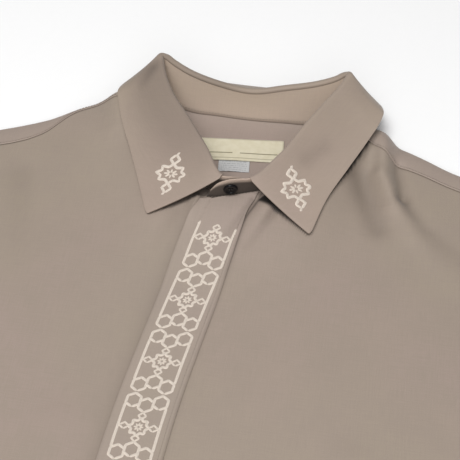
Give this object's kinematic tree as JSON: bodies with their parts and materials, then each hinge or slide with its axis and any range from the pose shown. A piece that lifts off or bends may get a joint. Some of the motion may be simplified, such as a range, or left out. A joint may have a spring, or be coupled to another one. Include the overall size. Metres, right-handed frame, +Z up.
{
  "type": "embroidered shirt",
  "caption": "Short sleeved shirt laid flat on its back and buttoned at the neck, with a turned down collar and embroidered star bands on the placket and the collar points.",
  "frame": {"origin": "on the surface that the shirt lies on, under the middle of its whole length and width", "axes": "+Z up from the surface, +Y from the hem to the collar, +X to the wearer's left"},
  "size_m": [0.9226, 0.8171, 0.0511],
  "materials": {
    "back": "fine matt taupe weave",
    "yoke": "fine matt taupe weave",
    "right_front": "fine matt taupe weave",
    "left_front": "fine matt taupe weave",
    "placket": "fine matt taupe weave",
    "collar_stand": "fine matt taupe weave",
    "collar_leaf": "fine matt taupe weave",
    "right_sleeve": "fine matt taupe weave",
    "left_sleeve": "fine matt taupe weave",
    "neck_label": "cream woven satin",
    "care_label": "white printed satin",
    "collar_button": "black, polished"
  },
  "bodies": {
    "root": {"back": "back", "yoke": "yoke", "right_front": "right_front", "left_front": "left_front", "placket": "placket", "collar_stand": "collar_stand", "collar_leaf": "collar_leaf", "right_sleeve": "right_sleeve", "left_sleeve": "left_sleeve", "neck_label": "neck_label", "care_label": "care_label", "collar_button": "collar_button"}
  },
  "joints": []
}
